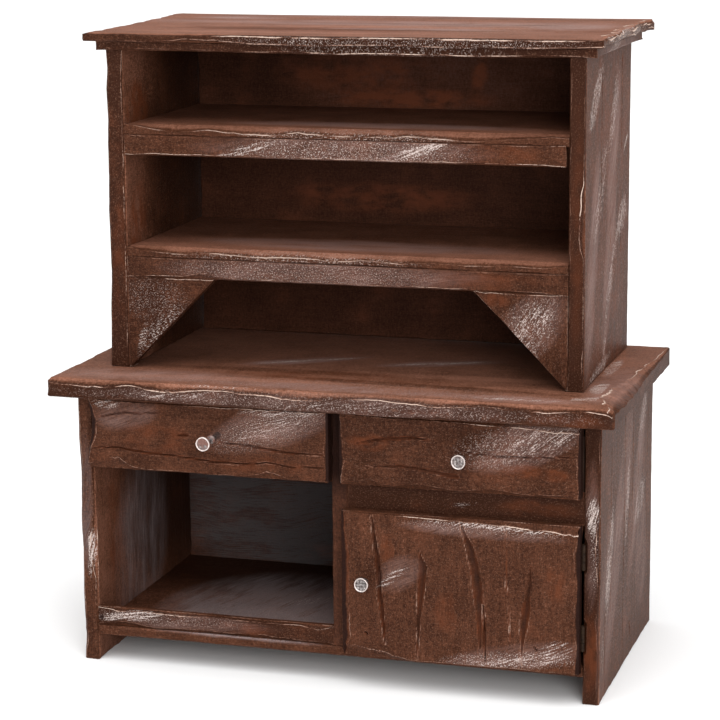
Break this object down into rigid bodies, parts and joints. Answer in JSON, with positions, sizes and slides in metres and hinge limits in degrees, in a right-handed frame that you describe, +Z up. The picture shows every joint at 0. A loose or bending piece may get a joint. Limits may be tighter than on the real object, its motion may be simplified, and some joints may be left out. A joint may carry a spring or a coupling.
{
  "type": "toy kitchen dresser",
  "caption": "Miniature rustic wooden kitchen dresser: a shelf hutch on a base cabinet with sliding drawers, an open bay and a hinged door with nail knobs.",
  "frame": {"origin": "middle of the overall box, on the surface that the dresser stands on", "axes": "+Z up, +X to the right seen from the front, doors and drawers on the -Y side"},
  "size_m": [0.14, 0.082, 0.1566],
  "materials": {
    "painted_wood": "dark red-brown paint, dry-brushed with white along the carved edges, satin",
    "dark_interior_wood": "near-black brown paint with grey and rust-red brush marks, satin",
    "bare_drawer_wood": "unpainted softwood, sanded",
    "nail_steel": "zinc-plated, cross-hatched heads",
    "hinge_brass": "aged brass, dull"
  },
  "bodies": {
    "case": {"base_side_left": "painted_wood", "base_side_right": "painted_wood", "base_floor": "dark_interior_wood", "base_lip_rail": "painted_wood", "base_divider": "dark_interior_wood", "base_back_panel": "dark_interior_wood", "drawer_shelf_left": "dark_interior_wood", "drawer_shelf_right": "dark_interior_wood", "mid_rail": "painted_wood", "worktop": "painted_wood", "hutch_side_left": "painted_wood", "hutch_side_right": "painted_wood", "hutch_back_panel": "dark_interior_wood", "upper_shelf": "painted_wood", "upper_shelf_rail": "painted_wood", "lower_shelf": "painted_wood", "lower_shelf_rail": "painted_wood", "gusset_left": "painted_wood", "gusset_right": "painted_wood", "cornice_lower": "painted_wood", "cornice_top": "painted_wood", "hinge_lower_case_leaf": "hinge_brass", "hinge_lower_pin": "hinge_brass", "hinge_upper_case_leaf": "hinge_brass", "hinge_upper_pin": "hinge_brass", "hinge_case_tacks": "hinge_brass", "assembly_brads": "nail_steel"},
    "drawer_left": {"drawer_left_front": "painted_wood", "drawer_left_side_left": "bare_drawer_wood", "drawer_left_side_right": "bare_drawer_wood", "drawer_left_back": "bare_drawer_wood", "drawer_left_bottom": "bare_drawer_wood", "drawer_left_knob": "nail_steel"},
    "drawer_right": {"drawer_right_front": "painted_wood", "drawer_right_side_left": "bare_drawer_wood", "drawer_right_side_right": "bare_drawer_wood", "drawer_right_back": "bare_drawer_wood", "drawer_right_bottom": "bare_drawer_wood", "drawer_right_knob": "nail_steel"},
    "door": {"door_panel": "painted_wood", "door_knob": "nail_steel", "hinge_lower_door_leaf": "hinge_brass", "hinge_upper_door_leaf": "hinge_brass", "hinge_door_tacks": "hinge_brass"}
  },
  "joints": [
    {"name": "drawer_left_slide", "type": "slide", "parent": "case", "child": "drawer_left", "axis": [0, -1, 0], "range_m": [0, 0.045]},
    {"name": "drawer_right_slide", "type": "slide", "parent": "case", "child": "drawer_right", "axis": [0, -1, 0], "range_m": [0, 0.045]},
    {"name": "door_hinge", "type": "hinge", "parent": "case", "child": "door", "pos_m": [0.0619, -0.0291, 0.0265], "axis": [0, 0, 1], "range_deg": [0, 90]}
  ]
}
